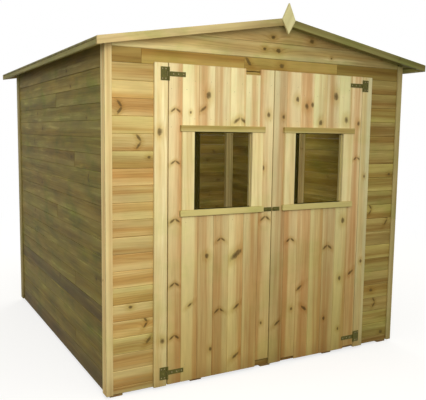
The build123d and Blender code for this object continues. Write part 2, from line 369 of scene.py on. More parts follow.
def chance_knots(often):
    """Knots at random places on a board: often is how many there are in a metre."""
    def knots(board, rng):
        low, high = board.reach["along"]
        found = []
        place = low + rng.uniform(0.05, 1.5 / often)
        while place < high - 0.03 and len(found) < KNOTS_A_BOARD:
            kind = rng.choice(CHANCE_KINDS)
            spread = 0.2 if kind == "pair" else 0.7
            radius = rng.uniform(0.04, 0.10) * board.length("across")
            found.append((place, rng.uniform(-spread, spread), radius, kind))
            place += rng.uniform(0.6, 1.5) / often
        return found
    return knots


def board_number(board, edges, way):
    """Which board it is between edges that rise along x, or fall along z from the top."""
    if way == "x":
        return sum(board.middle.x > edge for edge in edges)
    return sum(board.middle.z < edge for edge in edges)


def chosen_knots(rows, edges=(), way="x"):
    """Knots by board: height, or x on a level board, side from -1 to 1, radius, kind if not round."""
    def knots(board, rng):
        low, high = board.reach["along"]
        return [knot for knot in rows.get(board_number(board, edges, way), ()) if low < knot[0] < high]
    return knots


def mark_boards(piece, tone, knots):
    """Gives each board of a piece the attributes that its finish reads.

    tone(board, rng) gives its lightness, warmth and the side where its heartwood lies, and
    knots(board, rng) gives where its knots are along it and across it, their radii and kinds.
    """
    mesh = piece.data
    for layer in list(mesh.uv_layers):
        mesh.uv_layers.remove(layer)
    mesh.uv_layers.new(name="grain")
    knot_names = ["knot_%d" % number for number in range(KNOTS_A_BOARD)]
    for name, kind, domain in (
        ("across", "FLOAT", "CORNER"),
        ("end", "FLOAT", "FACE"),
        ("tone", "FLOAT_VECTOR", "FACE"),
        *((name, "FLOAT_VECTOR", "FACE") for name in knot_names),
    ):
        mesh.attributes.new(name, kind, domain)
    grain = mesh.uv_layers["grain"]
    across = mesh.attributes["across"]
    end = mesh.attributes["end"]
    tones = mesh.attributes["tone"]
    places = [mesh.attributes[name] for name in knot_names]
    boards = [Board(mesh, faces) for faces in shells(mesh)]
    boards.sort(key=lambda board: [round(board.middle[i], 3) for i in (2, 0, 1)])
    for number, board in enumerate(boards):
        rng = Random("%s %d" % (piece.name, number))
        shift = Vector((rng.uniform(0, grain_shift), rng.uniform(0, grain_shift)))
        board_tone = tone(board, rng)
        middle = sum(board.reach["across"]) / 2
        half = board.length("across") / 2
        found = [
            (place + shift.x, middle + side * half + shift.y, stored_size(*size))
            for place, side, *size in knots(board, rng)[:KNOTS_A_BOARD]
        ]
        found += [NOWHERE] * (KNOTS_A_BOARD - len(found))
        for face in board.faces:
            is_end = abs(face.normal.dot(board.along)) > 0.7
            is_side = abs(face.normal.dot(board.across)) > 0.9
            end.data[face.index].value = float(is_end)
            tones.data[face.index].vector = board_tone
            for place, knot in zip(places, found):
                place.data[face.index].vector = knot
            for loop in face.loop_indices:
                point = mesh.vertices[mesh.loops[loop].vertex_index].co
                side = point.dot(board.across)
                u = point.dot(board.along)
                v = side
                if is_end:
                    u = point.dot(board.out) * 0.2
                elif is_side:
                    v = side + point.dot(board.out) - board.reach["out"][0]
                grain.data[loop].uv = (u + shift.x, v + shift.y)
                across.data[loop].value = (side - middle) / half
    return boards


# ---------------------------------------------------------------- materials

def shade(red, green, blue):
    """A colour given by its screen values from 0 to 255."""
    parts = []
    for value in (red, green, blue):
        value /= 255
        parts.append(value / 12.92 if value <= 0.04045 else ((value + 0.055) / 1.055) ** 2.4)
    return (*parts, 1)


WHITE = (1, 1, 1, 1)
KNOT = shade(100, 80, 40)
DARK_KNOT = shade(50, 40, 18)

# what a wood's colour is multiplied by
PINKER = (1.02, 0.94, 0.94, 1)
GREENER = (0.93, 1.0, 0.88, 1)
STAINED = (0.74, 0.88, 0.62, 1)         # green from the preservative
SALTED = (1.45, 1.55, 1.95, 1)          # pale from its salts
AROUND_KNOT = (0.76, 0.66, 0.44, 1)
DARKER_AND_SHADED = (0.45, 0.38, 0.26, 1)            # darker ends and feet, and the painted shade along a board's lower edge
PAINTED_HIGHLIGHT = (1.22, 1.24, 1.3, 1)            # painted highlight along the upper edge of a board
# painted shade, browner and darker from the top down
DOWNWARD_SHADE = (0.58, 0.475, 0.26, 1)
# painted shade, darker towards +X
SHADED = (0.60, 0.60, 0.50, 1)


def operator(operation, turned=False):
    """An operator that adds a Math node; turned is its reflected form."""
    def join(wire, other):
        return wire.maths(operation, other, wire) if turned else wire.maths(operation, wire, other)
    return join


class Wire:
    """A value in a finish, which Python's operators join to Math nodes."""

    def __init__(self, finish, socket):
        self.finish = finish
        self.socket = socket

    def maths(self, operation, *values):
        return self.finish.node("Math", {"operation": operation}, dict(enumerate(values)))

    __add__ = __radd__ = operator("ADD")
    __mul__ = __rmul__ = operator("MULTIPLY")
    __sub__ = operator("SUBTRACT")
    __rsub__ = operator("SUBTRACT", turned=True)
    __truediv__ = operator("DIVIDE")
    __rtruediv__ = operator("DIVIDE", turned=True)
    __pow__ = operator("POWER")
    __lt__ = operator("LESS_THAN")
    or_less = operator("MINIMUM")

    def __abs__(self):
        return self.maths("ABSOLUTE", self)

    def wave(self, cycles=1.0):
        """From 0 to 1 and back, so many times as the value rises by 1."""
        return self.maths("SINE", self * (2 * pi * cycles)) * 0.5 + 0.5


class Finish:
    """The nodes of a material or a world, added one at a time."""

    def __init__(self, owner):
        self.owner = owner
        owner.use_nodes = True
        self.tree = owner.node_tree
        self.tree.nodes.clear()

    def node(self, kind, settings=None, inputs=None, output=0):
        """Adds a node: its settings are set first, then its sockets get values or wires."""
        made = self.tree.nodes.new("ShaderNode" + kind)
        for name, value in (settings or {}).items():
            setattr(made, name, value)
        for key, value in (inputs or {}).items():
            if isinstance(value, Wire):
                self.tree.links.new(value.socket, made.inputs[key])
            else:
                made.inputs[key].default_value = value
        return Wire(self, made.outputs[output]) if made.outputs else None

    def mix(self, factor, first, second, blend="MIX"):
        """Two colours, mixed: a Mix node's sockets 6 and 7 and its output 2 are its colours."""
        settings = {"data_type": "RGBA", "blend_type": blend, "clamp_factor": True}
        return self.node("Mix", settings, {0: factor, 6: first, 7: second}, 2)

    def tint(self, factor, colour, by):
        """The colour, multiplied by another as far as the factor says."""
        return self.mix(factor, colour, by, "MULTIPLY")

    def ease(self, value, low, high):
        """0 below low, 1 above high, smooth between them."""
        settings = {"interpolation_type": "SMOOTHSTEP"}
        return self.node("MapRange", settings, {0: value, 1: low, 2: high, 3: 0.0, 4: 1.0})

    def attribute(self, name, output="Fac"):
        return self.node("Attribute", {"attribute_name": name}, output=output)

    def split(self, vector):
        first = self.node("SeparateXYZ", inputs={0: vector})
        return [Wire(self, socket) for socket in first.socket.node.outputs]

    def point(self, x, y, z=0.0):
        return self.node("CombineXYZ", inputs={0: x, 1: y, 2: z})

    def noise(self, vector, scale=1.0, detail=2.0, rough=0.5):
        inputs = {"Vector": vector, "Scale": scale, "Detail": detail, "Roughness": rough}
        return self.node("TexNoise", inputs=inputs)

    def place(self):
        return self.node("TexCoord", output="Object")

    def finish(self, shader):
        self.node("OutputMaterial", inputs={0: shader})
        return self.owner


SPIKE_APART = 2.3           # all in radii of the knot: from the middle of a pair to each spike
SPIKE_LENGTH = 2.2
SPIKE_WIDTH = 0.75
SPIKE_SLANT = (0.80, 0.60)  # cosine and sine of its angle to the board's width


def knot_distance(finish, name, u, v, wobble):
    """How far the point is from one of the board's knots, in radii of the knot.

    A pair is two spikes, either side of the middle and slanting away from it. A slant is one
    spike, which leans as the right one of a pair does, and a back slant leans the other way.
    """
    knot_u, knot_v, kind_and_size = finish.split(finish.attribute(name, "Vector"))
    spiked = kind_and_size < 0.0
    single = kind_and_size < -1.0
    turned = kind_and_size < -2.0
    size = abs(kind_and_size) - single - turned
    along = (u - knot_u) / size
    side = (v - knot_v) / size
    apart = abs(side) - SPIKE_APART
    apart = apart + single * (side * (1.0 - turned * 2.0) - apart)
    level, upright = SPIKE_SLANT
    lengthways = (apart * level - along * upright) / SPIKE_LENGTH
    widthways = (apart * upright + along * level) / SPIKE_WIDTH
    spikes = (lengthways * lengthways + widthways * widthways) ** 0.5
    round_one = (along * along * 0.6 + side * side) ** 0.5
    return round_one + spiked * (spikes - round_one) + wobble


def nearest_knot(f, u, v):
    """How far the point is from the nearest of its board's knots, in radii of the knot."""
    wobble = (f.noise(f.point(u * 34, v * 70), detail=3, rough=0.6) - 0.5) * 1.3
    near = knot_distance(f, "knot_0", u, v, wobble)
    for number in range(1, KNOTS_A_BOARD):
        near = near.or_less(knot_distance(f, "knot_%d" % number, u, v, wobble))
    return near


def wood(name, pale, rich, late, green=0.25, foot=0.35, painted_shade_down=0.0, joint=0.5, rings=1.0,
         growth=30, mottle=0.2, painted_shade_to_x=0.0, bloom=0.0):
    """Treated softwood: pale sapwood, richer heartwood, darker rings, fibre, and dark knots.

    green is how much the preservative stains it, foot how dark it is near the ground,
    painted_shade_down how much painted shade browns and darkens it from its top down, joint
    how much painted shade darkens its lower edges and a painted highlight lightens its upper
    edges, rings how plain its growth rings are, growth how many there are in a metre, mottle
    how blotchy it is, painted_shade_to_x how much painted shade darkens it towards +X, and
    bloom how pale the salts have left it in streaks.
    """
    pale, rich, late = [shade(*colour) for colour in (pale, rich, late)]
    f = Finish(bpy.data.materials.new(name))
    u, v, _ = f.split(f.node("UVMap", {"uv_map": "grain"}))
    across = f.attribute("across")
    end = f.attribute("end")
    light, warmth, heart_side = f.split(f.attribute("tone", "Vector"))
    x, y, z = f.split(f.place())
    near = nearest_knot(f, u, v)

    # sapwood, heartwood and growth rings, which bend round the knots
    swirl = 1.0 / (1.0 + near * near * 0.12)
    streak = f.noise(f.point(u * 0.9, v * 28), detail=3, rough=0.6)
    bands = f.noise(f.point(u * 0.35, v * 9, 7.0), detail=1)
    heart = 1.0 - abs(across - heart_side) * 0.7 + (streak - 0.5) * 2.4 + (bands - 0.5) * 1.8
    heart = f.ease(heart, 0.0, 1.25)
    field = f.noise(f.point(u * 0.8, v * 6, 3.0), detail=1) * 7 + v * growth + swirl * 1.6
    ring = field.wave() ** 2.5
    fibre = f.noise(f.point(u * 9, v * 380), detail=2)
    flecks = f.noise(f.point(u * 2.2, v * 90, 2.0), detail=2)
    colour = f.mix(heart, pale, rich)
    colour = f.mix(ring * (0.12 + heart * 0.3) * f.ease(flecks, 0.3, 0.7) * rings, colour, late)

    # the board's tone, and stains
    cloud = f.noise(f.point(x * 1.6, y * 1.6, z * 5.0), scale=1.5, detail=3, rough=0.6)
    warmth = warmth + (cloud - 0.5) * mottle * 8
    colour = f.tint(warmth, colour, PINKER)
    colour = f.tint(warmth * -1.0, colour, GREENER)
    stain = f.noise(f.point(x * 2.2, y * 2.2, z * 3.4), scale=1.3, detail=4, rough=0.6)
    colour = f.tint(f.ease(stain, 0.48, 0.7) * green, colour, STAINED)
    if bloom:
        salts = f.noise(f.point(u * 1.8, v * 30, 9.0), detail=4, rough=0.65)
        colour = f.tint(f.ease(salts, 0.54, 0.70) * bloom, colour, SALTED)
    patch = f.noise(f.point(u * 3, v * 14, 5.0), detail=3)
    grey = light * (0.94 + (fibre - 0.5) * 0.24 + (patch - 0.5) * mottle * 2)
    colour = f.tint(1.0, colour, f.point(grey, grey, grey))

    # knots
    colour = f.tint((1.0 - f.ease(near, 0.5, 5.0)) * 0.7, colour, AROUND_KNOT)
    core = 1.0 - f.ease(near, 0.2, 1.6)
    colour = f.mix(core * 0.85, colour, f.mix(near.wave(3.0) * 0.5, KNOT, DARK_KNOT))
    rim = (1.0 - f.ease(abs(near - 0.9), 0.0, 0.5)) * f.ease(streak, 0.35, 0.6)
    colour = f.mix(rim * 0.45, colour, DARK_KNOT)

    # painted shade and highlight on the edges, darker ends and feet, painted shade from the top down and
    # towards +X
    darker_and_shaded = f.tint(1.0, colour, DARKER_AND_SHADED)
    # painted shade along each board's lower edge, then a painted highlight along its upper edge
    colour = f.mix(f.ease(across * -1.0, 0.90, 0.99) * joint, colour, darker_and_shaded)
    colour = f.tint(f.ease(across, 0.88, 0.97) * joint, colour, PAINTED_HIGHLIGHT)
    colour = f.mix(end * 0.45, colour, darker_and_shaded)
    low = 1.0 - f.ease(z + (streak - 0.5) * 0.16, 0.0, 0.14)
    colour = f.mix(low * foot, colour, darker_and_shaded)
    # painted shade: browner and darker from the top down
    if painted_shade_down:
        colour = f.tint((1.0 - f.ease(z, -0.2, 2.0)) * painted_shade_down, colour, DOWNWARD_SHADE)
    # painted shade: darker towards +X
    if painted_shade_to_x:
        colour = f.tint(f.ease(x, -1.0, 0.4) * painted_shade_to_x, colour, SHADED)

    height = fibre * 0.5 - ring * 0.35 + streak * 0.3 - rim * 0.6
    bump = f.node("Bump", inputs={"Strength": 0.35, "Distance": 0.0012, "Height": height})
    shader = f.node("BsdfPrincipled", inputs={
        "Base Color": colour,
        "Roughness": 0.62 + (fibre - 0.5) * 0.25,
        "Specular IOR Level": 0.15,
        "Normal": bump,
    })
    return f.finish(shader)


def black_iron(name):
    """Black painted steel, with faint brush marks and a little wear."""
    f = Finish(bpy.data.materials.new(name))
    place = f.place()
    marks = f.noise(place, scale=90, detail=3)
    wear = f.ease(f.noise(place, scale=34, detail=4, rough=0.7), 0.56, 0.74)
    colour = f.mix(marks, shade(60, 57, 16), shade(114, 108, 46))
    colour = f.mix(wear * 0.6, colour, shade(164, 152, 86))
    bump = f.node("Bump", inputs={"Strength": 0.25, "Distance": 0.0006, "Height": marks})
    shader = f.node("BsdfPrincipled", inputs={
        "Base Color": colour,
        "Roughness": 0.5 + marks * 0.2,
        "Specular IOR Level": 0.25,
        "Normal": bump,
    })
    return f.finish(shader)


def speckled(name, scale, detail, first, second, sockets):
    """A finish between two colours. A socket is a number, or its least and what the specks add."""
    f = Finish(bpy.data.materials.new(name))
    specks = f.noise(f.place(), scale, detail)
    inputs = {"Base Color": f.mix(specks, shade(*first), shade(*second))}
    for socket, value in sockets.items():
        inputs[socket] = value[0] + specks * value[1] if isinstance(value, tuple) else value
    return f.finish(f.node("BsdfPrincipled", inputs=inputs))


FRONT_BOARDS = wood("front_boards", (224, 198, 128), (197, 156, 86), (146, 102, 46), growth=64, mottle=0.3)
RIGHT_FRONT_BOARDS = wood(
    "right_front_boards", (196, 174, 98), (162, 129, 62), (106, 78, 34), green=0.5,
    growth=64, mottle=0.3, bloom=0.5,
)
SIDE_BOARDS = wood(
    "side_boards", (166, 148, 74), (142, 119, 42), (90, 75, 18), green=1.0,
    foot=0.5, painted_shade_down=0.55, mottle=0.65, growth=60, joint=0.35, bloom=1.0,
)
BAND_BOARDS = wood("band_boards", (188, 158, 84), (160, 124, 56), (112, 80, 34), green=0.5)
GABLE_BOARDS = wood(
    "gable_boards", (250, 232, 162), (226, 195, 124), (164, 128, 68), green=0.7,
    painted_shade_to_x=0.8, growth=44, mottle=0.45, bloom=0.7,
)
DOOR_BOARDS = wood(
    "door_boards", (254, 239, 178), (226, 187, 126), (185, 138, 79), painted_shade_down=0.92,
    joint=0.3, green=0.35, rings=0.6,
)
TRIM_WOOD = wood(
    "trim_wood", (255, 245, 185), (246, 223, 153), (208, 170, 106), green=0.35,
    painted_shade_down=0.63, joint=0.2, bloom=0.25,
)
STRIP_WOOD = wood("strip_wood", (246, 224, 158), (228, 198, 132), (192, 152, 90), painted_shade_down=0.2, joint=0.2)
DULL_STRIP_WOOD = wood(
    "dull_strip_wood", (206, 190, 128), (186, 166, 104), (150, 124, 70), painted_shade_down=0.2,
    joint=0.2, green=0.6,
)
HEAD_WOOD = wood("head_wood", (202, 184, 118), (180, 156, 86), (148, 122, 60), green=0.6, joint=0.2)
BATTEN_WOOD = wood("batten_wood", (246, 228, 166), (230, 204, 142), (196, 160, 96), joint=0.2)
BARGE_WOOD = wood(
    "barge_wood", (228, 209, 146), (202, 180, 120), (154, 130, 76), green=0.9,
    joint=0.3, painted_shade_to_x=1.0, mottle=0.4, bloom=0.4,
)
# painted shade: a darker copy of the barge wood for the right half of the front barge boards
SHADED_BARGE_WOOD = wood("dark_barge_wood", (150, 146, 84), (126, 116, 62), (90, 78, 38), green=0.7)
FINIAL_WOOD = wood("finial_wood", (224, 218, 160), (206, 196, 138), (176, 158, 102), joint=0.2)
ROOF_WOOD = wood("roof_wood", (168, 166, 98), (144, 134, 72), (102, 90, 44), green=0.6, mottle=0.3)
FRAME_WOOD = wood("frame_wood", (214, 190, 130), (190, 154, 94), (150, 112, 62), green=0.4)
INSIDE_WOOD = wood("inside_wood", (224, 210, 142), (202, 180, 114), (150, 120, 64), green=0.4)
IRON = black_iron("black_iron")
STEEL = speckled("bright_steel", 160, 2, (132, 116, 78), (170, 154, 112), {
    "Metallic": 0.5,
    "Roughness": (0.4, 0.25),
})
GLASS = speckled("clear_glass", 5, 3, (84, 76, 36), (122, 112, 62), {      # with a film of dust
    "Roughness": (0.05, 0.1),
    "Alpha": (0.015, 0.035),
})
# painted shade: the dark strips behind the panes
PANE_SHADE = speckled("glazing_seal", 60, 2, (30, 26, 2), (56, 48, 8), {
    "Roughness": (0.7, 0.2),
    "Specular IOR Level": 0.0,
})


# ---------------------------------------------------------------- tones and knots of the front

TONES = {                   # lightness, and warmth from greenish at -1 to pinkish at 1
    "bright": (1.18, -0.1),
    "cream": (1.08, 0.0),
    "straw": (1.0, -0.5),
    "sand": (0.98, 0.2),
    "pink": (0.99, 0.9),
    "rose": (0.96, 0.6),
    "honey": (0.94, 0.4),
    "tan": (0.90, 0.1),
    "olive": (0.84, -0.8),
    "brown": (0.80, 0.5),
    "umber": (0.70, 0.3),
    "dark": (0.60, 0.2),
}
LEFT_DOOR_TONES = ("pink", "cream", "honey", "tan", "cream", "sand", "rose")
LEFT_DOOR_HEARTS = (0.8, 0.9, -0.6, -0.2, 0.9, 0.2, -0.9)
RIGHT_DOOR_TONES = ("brown", "pink", "pink", "straw", "tan", "straw", "pink")
RIGHT_DOOR_HEARTS = (0.6, -0.8, 0.1, 0.8, -0.3, 0.9, 0.4)
# courses from the top
LEFT_PANEL_TONES = (
    "tan", "cream", "pink", "straw", "tan", "olive", "pink", "honey", "sand", "honey",
    "tan", "honey", "cream", "straw", "sand", "cream", "straw", "honey", "sand", "tan",
)
RIGHT_PANEL_TONES = (
    "tan", "brown", "straw", "brown", "tan", "brown", "straw", "straw", "olive", "straw",
    "tan", "brown", "straw", "olive", "tan", "straw", "brown", "straw", "olive", "brown",
)
# the top course is bright: painted light against the shade under the eaves
SIDE_TONES = (
    "bright", "straw", "straw", "sand", "straw", "honey", "straw", "sand", "sand", "straw",
    "sand", "straw", "straw", "straw", "dark", "straw", "straw", "straw", "umber", "umber",
)

# where a course may have a joint along it, and where the band over the doors has its joints
SIDE_BUTTS = (-0.52, 0.46, -0.09)
BACK_BUTTS = (-0.5, 0.0, 0.5)
BAND_JOINTS = (-0.855, -0.205, 0.495)
BAND_TONES = ("tan", "bright", "cream", "olive")

# knots by board from the left, or by course from the top: see chosen_knots
LEFT_PANEL_KNOTS = {
    2: ((-0.98, 0.0, 0.012, "pair"),),
    4: ((-0.87, 0.1, 0.012, "pair"),),
    5: ((-0.81, 0.3, 0.008),),
    14: ((-0.92, 0.6, 0.009),),
    15: ((-0.83, 0.5, 0.010, "pair"),),
    16: ((-0.81, 0.3, 0.013, "back_slant"),),
}
RIGHT_PANEL_KNOTS = {
    6: ((0.99, -0.5, 0.009),),
    9: ((0.83, 0.4, 0.011, "pair"),),
    10: ((0.98, 0.8, 0.012, "pair"),),
    15: ((0.87, 0.2, 0.012),),
    16: ((0.90, 0.3, 0.010, "pair"),),
    18: ((0.98, -0.5, 0.012),),
}
LEFT_DOOR_KNOTS = {
    0: (
        (0.30, 0.0, 0.010, "pair"), (0.61, 0.0, 0.010, "pair"), (0.98, 0.0, 0.010, "pair"),
        (1.31, 0.0, 0.009, "pair"), (1.60, 0.0, 0.009, "pair"),
    ),
    1: ((0.48, 0.1, 0.010, "back_slant"), (1.59, 0.0, 0.006)),
    2: (
        (0.19, 0.8, 0.010), (0.76, 0.2, 0.012),
        (1.61, -0.5, 0.013, "back_slant"), (1.69, 0.2, 0.015),
    ),
    3: ((0.42, -0.1, 0.010, "pair"), (0.85, 0.0, 0.009, "pair")),
    4: (
        (0.12, 0.2, 0.015, "back_slant"), (0.43, 0.2, 0.013, "back_slant"),
        (0.75, 0.0, 0.026, "back_slant"), (1.55, 0.3, 0.015, "pair"),
    ),
    6: (
        (0.30, -0.2, 0.008), (0.96, 0.1, 0.011, "pair"),
        (1.27, -0.4, 0.011), (1.59, 0.3, 0.012),
    ),
}
RIGHT_DOOR_KNOTS = {
    0: ((0.28, 0.2, 0.012, "back_slant"), (1.58, 0.5, 0.010)),
    1: ((0.36, 0.4, 0.008), (0.81, 0.0, 0.010, "pair"), (1.69, 0.5, 0.012)),
    2: (
        (0.35, 0.4, 0.014, "slant"), (0.49, -0.5, 0.014, "back_slant"),
        (1.65, -0.1, 0.014), (1.66, 0.8, 0.012),
    ),
    3: ((1.55, 0.1, 0.013),),
    4: ((0.26, -0.4, 0.009), (0.74, -0.2, 0.012, "pair"), (1.72, 0.4, 0.018)),
    5: (
        (0.17, 0.0, 0.008), (0.52, 0.0, 0.012),
        (0.91, 0.2, 0.014), (1.57, 0.2, 0.015),
    ),
    6: ((0.55, 0.0, 0.014, "back_slant"), (1.32, 0.4, 0.009, "pair"), (1.55, 0.5, 0.012)),
}
GABLE_KNOTS = {
    0: ((-0.01, -0.4, 0.011), (0.28, -0.4, 0.013)),
    1: ((-0.07, 0.2, 0.009), (0.03, 0.1, 0.012), (0.44, -0.3, 0.006)),
}
BAND_KNOTS = {2: ((-0.18, 0.4, 0.016, "slant"), (0.06, 0.1, 0.014))}
LEFT_TRIM_KNOTS = {0: ((0.29, 0.3, 0.013), (1.48, -0.2, 0.015))}
RIGHT_TRIM_KNOTS = {0: ((0.62, 0.0, 0.009), (1.20, 0.0, 0.008))}


def any_tone(low, high):
    """Tones at random, from darker to lighter boards."""
    def tone(board, rng):
        return (rng.uniform(low, high), rng.uniform(0.1, 0.9), rng.uniform(-0.9, 0.9))
    return tone


def named_tones(names, edges, way, hearts=None):
    """Tones by name for the boards between edges.

    hearts are the sides where their heartwood lies, from -1 to 1, or at random.
    """
    def tone(board, rng):
        place = min(len(names) - 1, board_number(board, edges, way))
        light, warm = TONES[names[place]]
        heart = hearts[place] if hearts else rng.uniform(-0.8, 0.8)
        return (light * rng.uniform(0.97, 1.03), warm, heart)
    return tone


PANE_MIDDLES = [sum(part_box(side + "_window_glass"), Vector()) / 2 for side in SIDES]


def window_tone(board, rng):
    """The sill is paler and greener than the head, and the right batten is paler than the left."""
    pane = PANE_MIDDLES[board.middle.x > 0]
    if abs(board.along.x) > 0.9:
        return (1.15, -0.4, 2.5) if board.middle.z < pane.z else (1.06, 0.0, 0.3)
    return (1.08 if board.middle.x > pane.x else 1.0, -0.2, 0.4)


def strip_tone(front, side):
    """Corner strips: lightness of those on the ends and of those on the sides."""
    def tone(board, rng):
        return (side if abs(board.out.x) > 0.9 else front, 0.1, rng.uniform(-0.4, 0.4))
    return tone


# ---------------------------------------------------------------- walls

def courses(node):
    """Heights of the joints of a boarded wall, from the top down."""
    low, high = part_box(node)
    places = []
    place = high.z - course
    while place > low.z + thinnest_board:
        places.append(place)
        place -= course
    return places


def middles(joints):
    """Heights of the middles of the courses above the joints."""
    return [joint + course / 2 for joint in joints]


def finished(piece, node, material, edge, tone, knots, extra=False):
    """Eases and marks a piece, gives it its material, and puts it in the node's place.

    material is one, or two and a test that picks the boards which get the second. An extra piece
    goes with the node and leaves it in place.
    """
    ease(piece, edge)
    boards = mark_boards(piece, tone, knots)
    if isinstance(material, tuple):
        first, second, test = material
        piece.data.materials.append(first)
        piece.data.materials.append(second)
        for board in boards:
            for face in board.faces:
                face.material_index = int(test(board))
    else:
        piece.data.materials.append(material)
    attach(piece, body_of[node])
    if not extra:
        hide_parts(node)


def butt_joints(piece, axis, places, heights, rng):
    """Saws some courses of a boarded wall across, as where short boards meet."""
    for height in heights:
        place = rng.choice(places) + rng.uniform(-butt_shift, butt_shift)
        saw(piece, axis, [place], boards=lambda middle: abs(middle.z - height) < course * 0.3)


def boarded(node, ending, axis, joints, material, edge, tone, knots, butts=()):
    """A slab of the frame, sawn into boards at the joints, and some of them across."""
    piece = copy_of(node, node + ending)
    saw(piece, axis, joints)
    if butts:
        butt_joints(piece, *butts)
    finished(piece, node, material, edge, tone, knots)


for side in SIDES:
    node = side + "_wall"
    joints = courses(node)
    tone = named_tones(SIDE_TONES, joints, "z")
    butts = ("y", SIDE_BUTTS, middles(joints)[1::4], Random(side + " wall"))
    boarded(node, "_boards", "z", joints, SIDE_BOARDS, side_bevel, tone, chance_knots(0.5), butts)

joints = courses("back_wall")
butts = ("x", BACK_BUTTS, middles(joints[::3]), Random("back"))
tone = any_tone(0.80, 1.10)
boarded("back_wall", "_boards", "z", joints, SIDE_BOARDS, joint_bevel, tone, chance_knots(1.1), butts)

for side, material, rows, names in (
    ("left", FRONT_BOARDS, LEFT_PANEL_KNOTS, LEFT_PANEL_TONES),
    ("right", RIGHT_FRONT_BOARDS, RIGHT_PANEL_KNOTS, RIGHT_PANEL_TONES),
):
    node = side + "_front_panel"
    joints = courses(node)
    tone = named_tones(names, joints, "z")
    knots = chosen_knots(rows, joints, "z")
    boarded(node, "_boards", "z", joints, material, joint_bevel, tone, knots)

tone = named_tones(BAND_TONES, BAND_JOINTS, "x")
knots = chosen_knots(BAND_KNOTS, BAND_JOINTS)
boarded("door_header", "_band", "x", BAND_JOINTS, BAND_BOARDS, eased_edge, tone, knots)

for end in ("front", "back"):
    node = end + "_gable"
    joints = [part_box(node)[0].z + gable_joint]
    knots = chosen_knots(GABLE_KNOTS, joints, "z") if end == "front" else chance_knots(1.2)
    boarded(node, "_boards", "z", joints, GABLE_BOARDS, joint_bevel, any_tone(0.92, 1.06), knots)

for side in SIDES:
    node = side + "_eaves_board"
    piece = copy_of(node, node + "_planed")
    finished(piece, node, SIDE_BOARDS, eased_edge, any_tone(0.84, 0.92), chance_knots(1.0))


# ---------------------------------------------------------------- doors

def door_joints(side):
    """Places along x of the joints of a leaf, whose first board is narrower."""
    low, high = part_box(side + "_door_boards")
    places = []
    place = low.x + (hinge_side_board if side == "left" else free_side_board)
    while place < high.x - thinnest_door_board:
        places.append(place)
        place += door_cover
    return places


LEFT_JOINTS = door_joints("left")
RIGHT_JOINTS = door_joints("right")

# leaf, board from the left, end (1 the top, -1 the foot) and how far it stops short
SHORT_BOARDS = (
    ("left", packer_board, 1, 0.034),
    ("left", 6, -1, 0.040),
    ("right", 1, -1, 0.020),
    ("right", 6, -1, 0.014),
)


def door_leaf(side, joints, names, hearts, rows):
    node = side + "_door_boards"
    low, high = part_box(node)
    leaf = slab(side + "_door_planks", low, high)
    glass_low, glass_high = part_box(side + "_window_glass")
    clear = 2 * seat
    hole = slab(
        "hole",
        (glass_low.x - clear, low.y - cutter_reach, glass_low.z - clear),
        (glass_high.x + clear, high.y + cutter_reach, glass_high.z + clear),
    )
    opening = leaf.modifiers.new("window", "BOOLEAN")
    opening.object = hole
    opening.operation = "DIFFERENCE"
    opening.solver = "EXACT"
    apply_all(leaf)
    bpy.data.objects.remove(hole)
    saw(leaf, "x", joints)
    edges = [low.x, *joints, high.x]
    for leaf_side, number, end, amount in SHORT_BOARDS:
        if leaf_side == side:
            middle = (edges[number] + edges[number + 1]) / 2
            cut_short(leaf, lambda point: abs(point.x - middle) < near_middle, "z", end, amount)
    tone = named_tones(names, joints, "x", hearts)
    finished(leaf, node, DOOR_BOARDS, door_bevel, tone, chosen_knots(rows, joints))


def door_packer():
    """A short timber behind the board that stops short of the left leaf's top."""
    node = "left_door_boards"
    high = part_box(node)[1]
    left, right = LEFT_JOINTS[packer_board - 1:packer_board + 1]
    top = high.z - packer_drop
    back = high.y + seat
    packer = slab(
        "left_door_packer",
        (left - packer_lap, back, top - packer_height),
        (right + packer_lap, back + packer_thickness, top),
    )
    tone = any_tone(0.9, 1.0)
    finished(packer, node, BAND_BOARDS, small_edge, tone, chance_knots(2.2), extra=True)


door_packer()
door_leaf("left", LEFT_JOINTS, LEFT_DOOR_TONES, LEFT_DOOR_HEARTS, LEFT_DOOR_KNOTS)
door_leaf("right", RIGHT_JOINTS, RIGHT_DOOR_TONES, RIGHT_DOOR_HEARTS, RIGHT_DOOR_KNOTS)


def alike(nodes, *row):
    return {node: row for node in nodes}


WINDOW_WOODS = (BATTEN_WOOD, HEAD_WOOD, lambda board: abs(board.along.x) > 0.9)
